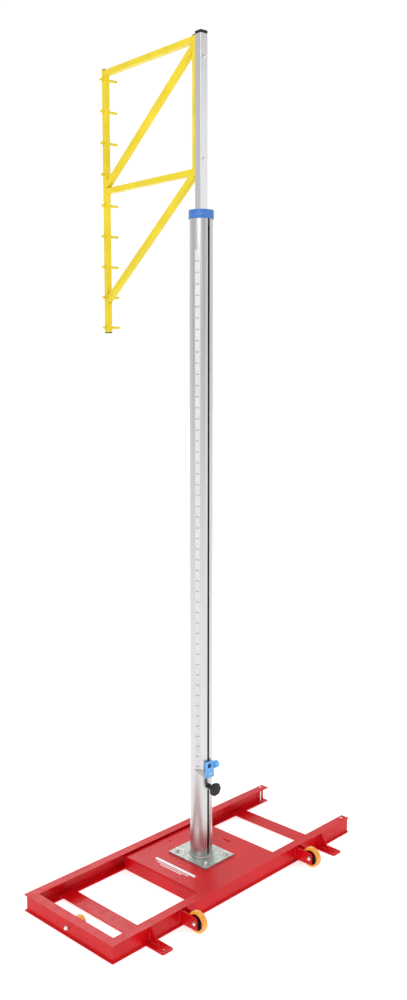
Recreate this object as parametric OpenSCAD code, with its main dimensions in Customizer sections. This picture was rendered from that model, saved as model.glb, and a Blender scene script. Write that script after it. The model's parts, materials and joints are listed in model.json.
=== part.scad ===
// Pole-vault upright: a wheeled base frame, a slotted column, and a sliding
// inner mast that carries the pegged arm for the crossbar.
// Origin: column axis at floor level. +X runs towards the open rail ends, +Z is up,
// and the wheels and feet are on the -Y side.

/* [Base frame] */
// Height of the rails
rail_h = 80; // [78:1:84]
// Width of the rail flanges
flange_w = 46; // [44:1:50]
// Thickness of the rail flanges
flange_t = 5.2; // [4.5:0.1:6]
// Thickness of the rail webs
web_t = 3.8; // [3:0.1:5]
// Width of the flange lips outside the webs
flange_lip = 8; // [6:0.5:10]
// Root radius between web and flange
root_r = 3; // [2:0.5:4]
// Distance from the column axis to the closed end of the frame
frame_back = 834; // [810:1:900]
// Distance from the column axis to the open rail ends
frame_front = 801; // [780:1:860]
// Overall width of the frame over the flanges
frame_w = 597; // [590:1:640]
// Width of the flat strips that join the rails
strip_w = 80; // [60:1:90]
// Thickness of the flat strips and of the foot plates
strip_t = 6; // [5:0.5:8]

/* [Feet] */
// Width of the foot plates
foot_w = 64; // [50:1:80]
// Reach of the foot plates beyond the rail
foot_reach = 103.5; // [95:0.5:120]
// Corner radius of the foot plates
foot_corner = 11; // [5:1:20]
// Distance from the rail to the fixing hole
foot_hole_reach = 75.5; // [70:0.5:80]
// Radius of the fixing hole
foot_hole_r = 6.25; // [5:0.25:8]

/* [Deck and base plate] */
// Deck edge towards the closed end
deck_back = 272; // [240:1:300]
// Deck edge towards the open end
deck_front = 262; // [240:1:300]
// Height of the deck surface
deck_top = 68; // [62:0.5:69]
// Deck sheet thickness
deck_t = 4; // [3:0.5:6]
// Column base plate size along X
plate_x = 200; // [180:1:220]
// Column base plate size along Y
plate_y = 250; // [230:1:270]
// Column base plate thickness
plate_t = 8; // [6:0.5:12]

/* [Column] */
// Outer radius of the column tube
column_r = 53; // [52:0.5:54]
// Column wall thickness
column_wall = 3; // [2.5:0.5:3.5]
// Width of the slot
slot_w = 11; // [10.5:0.5:13]
// Height of the column top
column_top = 3100; // [3090:1:3110]
// Turn of the slot, mast and arm about the column axis
head_turn = -7; // [-12:0.5:0]
// Width of the graduated tape
tape_w = 25; // [20:1:30]

/* [Mast and arm] */
// Side of the square inner mast
mast_side = 40; // [38:1:42]
// Mast wall thickness
mast_wall = 3; // [2:0.5:4]
// Height of the mast top
mast_top = 3855; // [3850:1:3870]
// Side of the square arm tubes
arm_side = 28; // [26:1:30]
// Arm tube wall thickness
arm_wall = 2; // [1.5:0.5:3]
// Distance from the column axis to the pegged post
arm_reach = 745; // [700:1:780]
// Height of the arm's upper face
arm_top = 3856; // [3850:1:3860]
// Height of the upper face of the middle bar
arm_mid = 3294; // [3280:1:3310]
// Number of crossbar pegs
peg_count = 9; // [9:1:9]
// Vertical spacing of the pegs
peg_pitch = 150; // [140:1:150]
// Radius of the pegs
peg_r = 6.5; // [5:0.5:8]

/* [Wheels] */
// Radius of the transport wheels
wheel_r = 48; // [44:1:48]
// Width of the transport wheels
wheel_w = 26; // [24:1:30]
// Radius of the end roller
roller_r = 27.5; // [24:0.5:30]

/* [Hidden] */
PEG_NODES = [for (i = [1 : peg_count]) str("arm_peg_", i)];
$fn = 64;

red = "#c8252b";
yellow = "#fade4b";
blue = "#6fb4ec";
black = "#1d1d1f";
amber = "#ef9420";
galvanised = "#8f9a90";
zinc = "#d9d6d2";
silver = "#c9c4c2";
tape_white = "#e6e3ee";

touch = 0.05;
gap = 0.3;
running_fit = 0.05;
half_w = frame_w / 2;
web_y = half_w - flange_lip - web_t / 2;
web_face = web_y - web_t / 2;
root_y = web_y + web_t / 2 + root_r + 0.2;
under_flange = rail_h - flange_t;

strip_left_x = -615;
strip_right_x = 567;
gusset_t = 5;
gusset_tip = 51;
gusset_tip_h = 1;

m12_r = 6;
m12_hex_r = 10.97;
m12_nut_h = 10;
m8_r = 4;
m8_hex_r = 7.5;
m8_nut_h = 6.5;
m8_hole_r = 4.5;

deck_low = 2;
deck_bend_r = 6;
deck_holes = [[-9, 208], [2, -200]];
deck_hole_r = 6;
deck_slot = [192, 6];
deck_slot_l = 50;
deck_slot_w = 10;
base_bolt_x = 70;
base_bolt_y = 97;
plate_top = deck_top + plate_t;
weld_w = 7;

column_bore = column_r - column_wall;
slot_low = 90;
collar_r = 57;
collar_low = 3071;
collar_high = 3109;
collar_opening = 44;
guide_h = 60;
tape_t = 0.4;
tape_low = 521;
tape_high = 2934;
tape_azimuth = -154;
tape_angle = tape_w / column_r * 180 / PI;

wheel_y = -382;
wheel_z = wheel_r + 0.5;
wheel_left_x = -418;
wheel_right_x = 382;
bracket_t = 5;
bracket_space = wheel_w + 2;
bracket_low = 14;
bracket_end = -396;
bracket_corner = 15;
tyre_t = 12;
tyre_round = 5.5;
boss_r = 14;

roller_x = -760;
roller_w = 30;
roller_z = rail_h / 2;
roller_round = 4;
roller_bolt_x = -845;
end_web_x = -frame_back + half_w - web_y;
end_bolt_x = 763;
end_bolt_y = 275;

mast_low = 415;
cap_h = 13;
mast_foot_h = 70;
back_y = mast_side / 2 + arm_side / 2;
back_face = mast_side / 2 + arm_side;
outer_face = arm_reach - arm_side / 2;
arm_low = 2588;
arm_corner = 3;
tube_cap_t = 4;
bottom_cap_t = 5;
mid_low = arm_mid - arm_side;
brace_lift = arm_side / 2;
upper_brace_ends = [[66, 3816], [675, 3368]];
lower_brace_ends = [[77, 3263], [677.5, 2810]];
peg_top = 3811;
peg_back = 32;
peg_front = 64;
peg_step = 0.2;
arm_bolt_z = [3757, 3327];

block_left = -25;
block_right = 22;
block_front = 69.5;
block_back = 57;
block_low = 483;
block_high = 560;
recess_x = -5;
recess_z = 541;
recess_r = 12;
screw_x = 1.5;
screw_z = 499;
grip_r = 17.5;
grip_y = 66;
grip_z = 540;
grip_end = 48;
grip_round = 7;
key_w = 9.5;
key_low = 418;
key_high = 560;
pointer_t = 1.6;
pointer_in = column_r + tape_t + touch + 0.75;
pointer_high = 519;
pointer_low = 479;
pointer_azimuth = -142.5;
knob_z = 435;
knob_r = 32;
knob_back = 98;
knob_front = 112;
knob_hole = 9;
pad_r = 13;
pad_t = 12;

// ---------- shared shapes ----------

// Turns children with the mast, the slot and the arm
module head() {
    rotate([0, 0, head_turn]) children();
}

// Sends +Z along +X
module along_x() {
    rotate([90, 0, 90]) children();
}

// Sends +Z along +Y
module along_y() {
    rotate([-90, 0, 0]) children();
}

module ring(outer, inner, height) {
    difference() {
        cylinder(r = outer, h = height);
        translate([0, 0, -1]) cylinder(r = inner, h = height + 2);
    }
}

module hex_prism(radius, height) {
    cylinder(r = radius, h = height, $fn = 6);
}

module hex_nut(radius, bore, height) {
    difference() {
        hex_prism(radius, height);
        translate([0, 0, -1]) cylinder(r = bore + touch, h = height + 2);
    }
}

module soft_square(side, corner) {
    flat = side - 2 * corner;
    square([side, flat], center = true);
    square([flat, side], center = true);
    for (x = [-1, 1], y = [-1, 1])
        translate([x * flat / 2, y * flat / 2]) circle(r = corner);
}

module tube_outline(side, wall, corner) {
    difference() {
        soft_square(side, corner);
        square(side - 2 * wall, center = true);
    }
}

// Flanged section centred on its web, standing on y = 0, with the lips towards -X
module rail_outline() {
    for (y = [0, rail_h - flange_t])
        translate([-web_t / 2 - flange_lip, y]) square([flange_w, flange_t]);
    translate([-web_t / 2, 0]) square([web_t, rail_h]);
    for (side = [0, 1], end = [0, 1])
        translate([0, end * rail_h])
            mirror([side, 0])
                mirror([0, end])
                    translate([web_t / 2 - 0.01, flange_t - 0.01])
                        difference() {
                            square(root_r);
                            translate([root_r, root_r]) circle(r = root_r);
                        }
}

// Removes what lies beyond the 45 degree mitre of a frame corner
module mitre_cutter() {
    rotate([0, 0, 45])
        translate([-200, 0, -20]) cube([700, 400, rail_h + 40]);
}

module side_rail() {
    color(red)
        difference() {
            translate([-frame_back, -web_y, 0])
                along_x() linear_extrude(frame_back + frame_front) rail_outline();
            translate([-frame_back, -half_w, 0]) mitre_cutter();
            translate([end_bolt_x, -end_bolt_y, -10])
                cylinder(r = m8_hole_r, h = rail_h + 20);
        }
}

module cross_strip(x) {
    length = 2 * (web_face - root_r - 0.2);
    color(red)
        translate([x - strip_w / 2, -length / 2, flange_t])
            cube([strip_w, length, strip_t]);
}

module foot_plate(x) {
    straight = foot_reach - foot_corner;
    color(red)
        translate([x, -half_w, 0])
            difference() {
                linear_extrude(strip_t) {
                    translate([-foot_w / 2, -straight]) square([foot_w, straight]);
                    translate([-foot_w / 2 + foot_corner, -foot_reach])
                        square([foot_w - 2 * foot_corner, foot_reach]);
                    for (s = [-1, 1])
                        translate([s * (foot_w / 2 - foot_corner), -straight])
                            circle(r = foot_corner);
                }
                translate([0, -foot_hole_reach, -1])
                    cylinder(r = foot_hole_r, h = strip_t + 2);
            }
}

// Stiffener from inside the rail section down to the foot plate
module foot_gusset(x) {
    edge = half_w - touch;
    color(red)
        translate([x - gusset_t / 2, 0, 0])
            mirror([0, 1, 0])
                along_x()
                    linear_extrude(gusset_t)
                        polygon([[root_y, flange_t + touch], [edge, flange_t + touch],
                            [edge, strip_t + touch], [half_w + gusset_tip, strip_t + touch],
                            [half_w + gusset_tip, strip_t + gusset_tip_h],
                            [edge, under_flange - touch], [root_y, under_flange - touch]]);
}

// Plate inside the rail section, with its two free corners rounded
module bracket_plate(x) {
    top = under_flange - touch;
    turn_y = bracket_end + bracket_corner;
    color(red)
        translate([x, 0, 0])
            along_x()
                linear_extrude(bracket_t)
                    difference() {
                        union() {
                            translate([turn_y, bracket_low])
                                square([-root_y - turn_y, top - bracket_low]);
                            translate([bracket_end, bracket_low + bracket_corner])
                                square([30, top - bracket_low - 2 * bracket_corner]);
                            for (z = [bracket_low + bracket_corner, top - bracket_corner])
                                translate([turn_y, z]) circle(r = bracket_corner);
                        }
                        translate([wheel_y, wheel_z]) circle(r = m12_r + touch);
                    }
}

module near_bracket(wheel_x) {
    bracket_plate(wheel_x - bracket_space / 2 - bracket_t);
}

module far_bracket(wheel_x) {
    bracket_plate(wheel_x + bracket_space / 2);
}

module wheel_axle(wheel_x) {
    grip = bracket_space + 2 * bracket_t;
    color(zinc)
        translate([wheel_x - grip / 2, wheel_y, wheel_z])
            rotate([0, 90, 0]) {
                translate([0, 0, -8 - touch]) hex_prism(m12_hex_r, 8);
                translate([0, 0, -1]) cylinder(r = m12_r, h = grip + m12_nut_h + 4);
            }
}

// Roll with rounded edges, on the X axis and centred on the origin
module rounded_roll(outer, inner, width, rounding) {
    half = width / 2;
    color(amber)
        rotate([0, 90, 0])
            rotate_extrude() {
                translate([inner, -half]) square([outer - inner - rounding, width]);
                translate([inner, -half + rounding])
                    square([outer - inner, width - 2 * rounding]);
                for (s = [-1, 1])
                    translate([outer - rounding, s * (half - rounding)]) circle(r = rounding);
            }
}

module wheel_tyre(wheel_x) {
    translate([wheel_x, wheel_y, wheel_z])
        rounded_roll(wheel_r, wheel_r - tyre_t, wheel_w, tyre_round);
}

// Hub with a raised boss and a dished web on both sides
module wheel_hub(wheel_x) {
    outer = wheel_r - tyre_t - touch;
    width = wheel_w - 2;
    boss_w = bracket_space - 2 * gap;
    color(black)
        translate([wheel_x, wheel_y, wheel_z])
            rotate([0, 90, 0])
                difference() {
                    union() {
                        translate([0, 0, -width / 2]) cylinder(r = outer, h = width);
                        translate([0, 0, -boss_w / 2]) cylinder(r = boss_r, h = boss_w);
                    }
                    translate([0, 0, -boss_w]) cylinder(r = m12_r + running_fit, h = 2 * boss_w);
                    for (s = [-1, 1])
                        translate([0, 0, s * width / 2])
                            difference() {
                                cylinder(r = outer - 4, h = 10, center = true);
                                cylinder(r = boss_r, h = 12, center = true);
                            }
                }
}

module at_base_bolts(z) {
    for (x = [-base_bolt_x, base_bolt_x], y = [-base_bolt_y, base_bolt_y])
        translate([x, y, z]) children();
}

// ---------- base frame ----------

module front_rail() {
    side_rail();
}

module rear_rail() {
    mirror([0, 1, 0]) side_rail();
}

module end_rail() {
    color(red)
        difference() {
            translate([end_web_x, half_w, 0])
                rotate([90, 0, 0]) linear_extrude(frame_w) rail_outline();
            for (s = [0, 1])
                mirror([0, s, 0])
                    translate([-frame_back, -half_w, 0]) mirror([1, -1, 0]) mitre_cutter();
            translate([-frame_back, 0, roller_z])
                rotate([0, 90, 0]) cylinder(r = m12_r + touch, h = flange_w);
        }
}

// Folded sheet between the rail webs, with its end faces turned down
module deck_plate() {
    length = deck_back + deck_front;
    width = 2 * (web_face - touch);
    between_flanges = frame_w - 2 * flange_w - 2 * touch;
    color(red)
        difference() {
            translate([-deck_back, width / 2, 0])
                rotate([90, 0, 0])
                    linear_extrude(width)
                        difference() {
                            union() {
                                translate([0, deck_low])
                                    square([length, deck_top - deck_bend_r - deck_low]);
                                translate([deck_bend_r, deck_low])
                                    square([length - 2 * deck_bend_r, deck_top - deck_low]);
                                for (x = [deck_bend_r, length - deck_bend_r])
                                    translate([x, deck_top - deck_bend_r])
                                        circle(r = deck_bend_r);
                            }
                            translate([deck_t, 0])
                                square([length - 2 * deck_t, deck_top - deck_t]);
                        }
            for (s = [0, 1])
                mirror([0, s, 0])
                    translate([-deck_back - 1, between_flanges / 2, -1])
                        cube([length + 2, flange_w, deck_top - deck_t + 1]);
            for (p = deck_holes)
                translate([p[0], p[1], deck_top - 10]) cylinder(r = deck_hole_r, h = 20);
            translate([deck_slot[0] - deck_slot_w / 2, deck_slot[1] - deck_slot_l / 2, deck_top - 10])
                cube([deck_slot_w, deck_slot_l, 20]);
            at_base_bolts(deck_top - 10) cylinder(r = m12_r + touch, h = 20);
        }
}

// Plate with the weld bead round the column foot
module column_base_plate() {
    inner = column_r + touch;
    color(galvanised) {
        difference() {
            translate([-plate_x / 2, -plate_y / 2, deck_top]) cube([plate_x, plate_y, plate_t]);
            at_base_bolts(deck_top - 1) cylinder(r = m12_r + touch, h = plate_t + 2);
        }
        translate([0, 0, plate_top])
            rotate_extrude()
                polygon([[inner, -1], [column_r + weld_w, -1], [column_r + weld_w, 0],
                    [column_r + 0.6 * weld_w, 0.7 * weld_w], [inner, weld_w]]);
    }
}

module base_bolts() {
    color(zinc) {
        at_base_bolts(deck_top - deck_t - 8 - touch) hex_prism(m12_hex_r, 8);
        at_base_bolts(deck_top - deck_t - 1)
            cylinder(r = m12_r, h = deck_t + plate_t + m12_nut_h + 7);
    }
}

module nut_along_x(x, y, z) {
    translate([x, y, z]) rotate([0, 90, 0]) hex_nut(m12_hex_r, m12_r, m12_nut_h);
}

// Nuts of the base bolts, of the wheel axles and of the roller bolt
module m12_nuts() {
    axle_nut_x = bracket_space / 2 + bracket_t + touch;
    color(zinc) {
        at_base_bolts(plate_top + touch) hex_nut(m12_hex_r, m12_r, m12_nut_h);
        for (x = [wheel_left_x, wheel_right_x])
            nut_along_x(x + axle_nut_x, wheel_y, wheel_z);
        for (x = [end_web_x - web_t / 2 - m12_nut_h - touch, end_web_x + web_t / 2 + touch])
            nut_along_x(x, 0, roller_z);
    }
}

module end_bolts() {
    color(zinc)
        for (y = [-end_bolt_y, end_bolt_y])
            translate([end_bolt_x, y, 0]) {
                translate([0, 0, rail_h + touch]) hex_prism(m8_hex_r, 5.5);
                translate([0, 0, 1]) cylinder(r = m8_r, h = rail_h);
            }
}

module end_bolt_nuts() {
    color(zinc)
        for (y = [-end_bolt_y, end_bolt_y])
            translate([end_bolt_x, y, flange_t + touch]) hex_nut(m8_hex_r, m8_r, m8_nut_h);
}

module left_cross_strip() {
    cross_strip(strip_left_x);
}

module right_cross_strip() {
    cross_strip(strip_right_x);
}

module left_foot_plate() {
    foot_plate(strip_left_x);
}

module right_foot_plate() {
    foot_plate(strip_right_x);
}

module left_foot_gusset() {
    foot_gusset(strip_left_x);
}

module right_foot_gusset() {
    foot_gusset(strip_right_x);
}

module left_bracket_near() {
    near_bracket(wheel_left_x);
}

module left_bracket_far() {
    far_bracket(wheel_left_x);
}

module right_bracket_near() {
    near_bracket(wheel_right_x);
}

module right_bracket_far() {
    far_bracket(wheel_right_x);
}

module left_wheel_axle() {
    wheel_axle(wheel_left_x);
}

module right_wheel_axle() {
    wheel_axle(wheel_right_x);
}

module left_wheel_hub() {
    wheel_hub(wheel_left_x);
}

module right_wheel_hub() {
    wheel_hub(wheel_right_x);
}

module left_wheel_tyre() {
    wheel_tyre(wheel_left_x);
}

module right_wheel_tyre() {
    wheel_tyre(wheel_right_x);
}

module end_roller() {
    translate([roller_x, 0, roller_z])
        rounded_roll(roller_r, m12_r + running_fit, roller_w, roller_round);
}

// Bolt through the roller and the end rail, with a collar between them
module end_roller_bolt() {
    collar_start = end_web_x + web_t / 2 + m12_nut_h + 2 * touch;
    roller_near = roller_x - roller_w / 2 - gap;
    roller_far = roller_x + roller_w / 2 + gap;
    color(zinc)
        translate([0, 0, roller_z])
            rotate([0, 90, 0]) {
                translate([0, 0, roller_bolt_x]) cylinder(r = m12_r, h = roller_far - roller_bolt_x + 1);
                translate([0, 0, collar_start]) cylinder(r = 9, h = roller_near - collar_start);
                translate([0, 0, roller_far]) hex_prism(m12_hex_r, 8);
            }
}

// ---------- column ----------

module column_tube() {
    color(silver)
        head()
            difference() {
                translate([0, 0, plate_top]) ring(column_r, column_bore, column_top - plate_top);
                translate([-slot_w / 2, -column_r - 1, slot_low])
                    cube([slot_w, column_wall + 8, column_top]);
            }
}

module column_collar() {
    color(blue)
        head()
            difference() {
                translate([0, 0, collar_low]) cylinder(r = collar_r, h = collar_high - collar_low);
                translate([0, 0, collar_low - 1])
                    cylinder(r = column_r + touch, h = column_top + touch - collar_low + 1);
                translate([-collar_opening / 2, -collar_opening / 2, collar_low])
                    cube([collar_opening, collar_opening, collar_high]);
            }
}

// Bush in the column mouth that centres the mast
module collar_guide() {
    opening = mast_side + 2 * gap;
    color(black)
        head()
            translate([0, 0, column_top - guide_h])
                difference() {
                    cylinder(r = column_bore - touch, h = guide_h);
                    translate([-opening / 2, -opening / 2, -1])
                        cube([opening, opening, guide_h + 2]);
                }
}

module scale_tape() {
    color(tape_white)
        rotate([0, 0, tape_azimuth - tape_angle / 2])
            translate([0, 0, tape_low])
                rotate_extrude(angle = tape_angle)
                    translate([column_r + touch, 0]) square([tape_t, tape_high - tape_low]);
}

// ---------- mast ----------

module mast_tube() {
    color(silver)
        head()
            difference() {
                translate([0, 0, mast_low])
                    linear_extrude(mast_top - mast_low) tube_outline(mast_side, mast_wall, 2);
                for (z = arm_bolt_z)
                    translate([0, -mast_side, z])
                        along_y() cylinder(r = m8_hole_r, h = 2 * mast_side);
            }
}

module mast_cap() {
    plug = mast_side - 2 * mast_wall - 2 * touch;
    color(black)
        head()
            translate([0, 0, mast_top + touch]) {
                linear_extrude(cap_h) soft_square(mast_side, 2);
                translate([0, 0, -12]) linear_extrude(13) square(plug, center = true);
            }
}

// Guide round the foot of the mast, running in the column bore
module mast_foot() {
    key_slot = key_w + 2 * touch;
    color(black)
        head()
            translate([0, 0, mast_low])
                linear_extrude(mast_foot_h)
                    difference() {
                        circle(r = column_bore - gap);
                        square(mast_side + 2 * touch, center = true);
                        translate([-key_slot / 2, -column_r]) square([key_slot, column_r]);
                    }
}

// ---------- carriage ----------

// Key that joins the mast to the carriage through the slot
module slot_key() {
    mast_face = mast_side / 2 + touch;
    in_slot = column_r - touch;
    color(silver)
        head()
            difference() {
                union() {
                    translate([-key_w / 2, -in_slot, key_low])
                        cube([key_w, in_slot - mast_face, key_high - key_low]);
                    translate([-key_w / 2, -block_back + touch, block_low])
                        cube([key_w, block_back - mast_face - touch, key_high - block_low]);
                }
                translate([0, -block_back - 1, knob_z])
                    along_y() cylinder(r = m8_r + running_fit, h = block_back);
            }
}

module carriage_block() {
    color(blue)
        head()
            difference() {
                translate([block_left, -block_front, block_low])
                    cube([block_right - block_left, block_front - block_back, block_high - block_low]);
                translate([recess_x, -block_front - 1, recess_z])
                    along_y() cylinder(r = recess_r, h = 11);
                translate([screw_x, -block_front - 1, screw_z])
                    along_y() cylinder(r = 3 + touch, h = 11);
            }
}

// Round grip beside the block, with a rounded outer end
module carriage_grip() {
    start = block_right + touch;
    length = grip_end - start;
    color(blue)
        head()
            translate([start, -grip_y, grip_z])
                rotate([0, 90, 0])
                    rotate_extrude() {
                        square([grip_r, length - grip_round]);
                        square([grip_r - grip_round, length]);
                        translate([grip_r - grip_round, length - grip_round])
                            circle(r = grip_round);
                    }
}

module carriage_screw() {
    color(zinc)
        head()
            translate([screw_x, -block_front, screw_z])
                along_y() {
                    translate([0, 0, -2.5]) cylinder(r = 5, h = 2.5 - touch);
                    translate([0, 0, -1]) cylinder(r = 3, h = 10);
                }
}

// Plate flat behind the block, then curved over the tape to a point
module scale_pointer() {
    clear_of_key = key_w / 2 + 0.5;
    reach = 24.5;
    turn = pointer_azimuth - head_turn;
    color(silver)
        head() {
            difference() {
                intersection() {
                    translate([0, 0, pointer_low])
                        ring(pointer_in + pointer_t, pointer_in, pointer_high - pointer_low);
                    rotate([0, 0, turn])
                        along_x()
                            linear_extrude(80)
                                polygon([[-reach, pointer_high - 1], [-reach, pointer_high],
                                    [40, pointer_high], [40, pointer_low], [reach, pointer_low]]);
                }
                translate([-clear_of_key, -100, 0]) cube([200, 200, 1000]);
            }
            translate([block_left, -block_back + touch, pointer_low])
                cube([-block_left - clear_of_key, block_back - pointer_in - touch,
                    pointer_high - pointer_low]);
        }
}

// Washer between the knob and the column
module clamp_pad() {
    color(black)
        head()
            translate([0, -column_r - 0.4 - pad_t, knob_z])
                along_y() ring(pad_r, m8_r + touch, pad_t);
}

module clamp_stud() {
    start = knob_front - knob_hole;
    color(zinc)
        head()
            translate([0, -start, knob_z])
                along_y() cylinder(r = m8_r, h = start - mast_side / 2 - 5);
}

// Round hand knob with a boss towards the column
module clamp_knob() {
    depth = knob_front - knob_back;
    boss_end = column_r + 0.4 + pad_t + touch;
    color(black)
        head()
            translate([0, -knob_front, knob_z])
                along_y()
                    difference() {
                        union() {
                            cylinder(r = knob_r, h = depth);
                            cylinder(r = 12, h = knob_front - boss_end);
                        }
                        translate([0, 0, knob_hole - touch]) cylinder(r = m8_r + touch, h = 100);
                    }
}

// ---------- arm ----------

module arm_post(y, low, high) {
    color(yellow)
        head()
            translate([0, y, low])
                linear_extrude(high - low) tube_outline(arm_side, arm_wall, arm_corner);
}

module arm_bar(top) {
    color(yellow)
        head()
            translate([0, back_face + touch, top - arm_side / 2])
                along_y()
                    linear_extrude(outer_face - back_face - 2 * touch)
                        tube_outline(arm_side, arm_wall, arm_corner);
}

// Sloping tube whose upper edge runs through two points of the arm plane,
// trimmed to the box given as [low Y, low Z], [high Y, high Z]
module arm_brace(edge, low, high) {
    run = edge[1] - edge[0];
    slope = atan2(run[1], run[0]);
    color(yellow)
        head()
            intersection() {
                translate([0, edge[0][0], edge[0][1]])
                    rotate([slope, 0, 0])
                        translate([0, -90, -brace_lift])
                            along_y()
                                linear_extrude(norm(run) + 180)
                                    tube_outline(arm_side, arm_wall, arm_corner);
                translate([-arm_side, low[0], low[1]])
                    cube([2 * arm_side, high[0] - low[0], high[1] - low[1]]);
            }
}

module arm_back_post() {
    difference() {
        arm_post(back_y + touch, mid_low, arm_top);
        head()
            for (z = arm_bolt_z)
                translate([0, 0, z]) along_y() cylinder(r = m8_hole_r, h = 100);
    }
}

module arm_outer_post() {
    difference() {
        arm_post(arm_reach, arm_low, arm_top);
        for (i = [1 : peg_count])
            at_peg(i) cylinder(r = peg_r - peg_step + touch, h = peg_back + peg_front);
    }
}

module arm_top_bar() {
    arm_bar(arm_top);
}

module arm_mid_bar() {
    arm_bar(arm_mid);
}

module arm_upper_brace() {
    arm_brace(upper_brace_ends, [back_face + 2 * touch, arm_mid + touch],
        [outer_face - touch, arm_top - arm_side - touch]);
}

module arm_lower_brace() {
    arm_brace(lower_brace_ends, [0, arm_low], [outer_face - touch, mid_low - touch]);
}

module arm_caps() {
    color(black)
        head() {
            for (y = [back_y + touch, arm_reach])
                translate([0, y, arm_top + touch])
                    linear_extrude(tube_cap_t) soft_square(arm_side, arm_corner);
            translate([0, arm_reach, arm_low - bottom_cap_t - touch])
                linear_extrude(bottom_cap_t) soft_square(arm_side, arm_corner);
        }
}

// Start of a peg, with +Z along the peg; peg 1 is the top one
module at_peg(i) {
    head()
        translate([-peg_back, arm_reach, peg_top - (i - 1) * peg_pitch])
            rotate([0, 90, 0]) children();
}

// Round peg, a little thinner where it passes through the post
module arm_peg(i) {
    in_post = arm_side / 2 + gap;
    color(yellow)
        at_peg(i) {
            cylinder(r = peg_r - peg_step, h = peg_back + peg_front);
            cylinder(r = peg_r, h = peg_back - in_post);
            translate([0, 0, peg_back + in_post]) cylinder(r = peg_r, h = peg_front - in_post);
        }
}

module arm_bolts() {
    color(zinc)
        head()
            for (z = arm_bolt_z)
                translate([0, -mast_side / 2, z])
                    along_y() {
                        translate([0, 0, -5.5 - touch]) hex_prism(m8_hex_r, 5.5);
                        translate([0, 0, -1]) cylinder(r = m8_r, h = mast_side + arm_side + 11);
                    }
}

module arm_bolt_nuts() {
    color(zinc)
        head()
            for (z = arm_bolt_z)
                translate([0, back_face + 2 * touch, z])
                    along_y() hex_nut(m8_hex_r, m8_r, m8_nut_h);
}

front_rail();
rear_rail();
end_rail();
left_cross_strip();
right_cross_strip();
deck_plate();
column_base_plate();
base_bolts();
m12_nuts();
column_tube();
column_collar();
collar_guide();
scale_tape();
left_foot_plate();
right_foot_plate();
left_foot_gusset();
right_foot_gusset();
left_bracket_near();
left_bracket_far();
right_bracket_near();
right_bracket_far();
left_wheel_axle();
right_wheel_axle();
left_wheel_hub();
left_wheel_tyre();
right_wheel_hub();
right_wheel_tyre();
end_roller();
end_roller_bolt();
end_bolts();
end_bolt_nuts();
mast_tube();
mast_cap();
mast_foot();
slot_key();
carriage_block();
carriage_grip();
carriage_screw();
scale_pointer();
clamp_pad();
clamp_stud();
clamp_knob();
arm_back_post();
arm_outer_post();
arm_top_bar();
arm_mid_bar();
arm_upper_brace();
arm_lower_brace();
arm_bolts();
arm_bolt_nuts();
arm_caps();
for (i = [1 : peg_count])
    arm_peg(i);
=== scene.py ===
import json
import math

import bmesh
import bpy
from mathutils import Matrix, Vector


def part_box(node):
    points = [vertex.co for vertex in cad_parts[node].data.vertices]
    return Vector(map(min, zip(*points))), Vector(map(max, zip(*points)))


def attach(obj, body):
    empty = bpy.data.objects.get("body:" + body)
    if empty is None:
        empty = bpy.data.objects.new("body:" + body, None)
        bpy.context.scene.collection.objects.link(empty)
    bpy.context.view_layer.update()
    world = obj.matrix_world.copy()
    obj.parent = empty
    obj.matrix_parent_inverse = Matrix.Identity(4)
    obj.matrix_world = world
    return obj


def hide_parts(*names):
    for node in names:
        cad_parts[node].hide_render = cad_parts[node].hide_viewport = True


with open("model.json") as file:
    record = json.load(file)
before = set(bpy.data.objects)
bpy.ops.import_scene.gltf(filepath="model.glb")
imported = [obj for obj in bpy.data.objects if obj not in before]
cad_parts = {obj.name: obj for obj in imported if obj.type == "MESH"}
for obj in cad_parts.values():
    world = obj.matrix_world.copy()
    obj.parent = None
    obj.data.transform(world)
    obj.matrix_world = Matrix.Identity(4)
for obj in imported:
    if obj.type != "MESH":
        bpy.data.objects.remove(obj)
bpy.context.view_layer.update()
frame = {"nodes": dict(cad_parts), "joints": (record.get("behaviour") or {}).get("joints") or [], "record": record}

NODES = frame["nodes"]
JOINTS = {joint["name"]: joint for joint in frame["joints"]}
MM = 0.001

# The head frame is the row frame turned about Z, so that its -Y is the clamp's axis.
CLAMP_AXIS = JOINTS["clamp_turn"]["axis"]
HEAD_TURN = math.atan2(CLAMP_AXIS[0], -CLAMP_AXIS[1])
HEAD = Matrix.Rotation(HEAD_TURN, 4, "Z")
TO_HEAD = HEAD.inverted()


# ---------- shader helpers ----------

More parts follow.
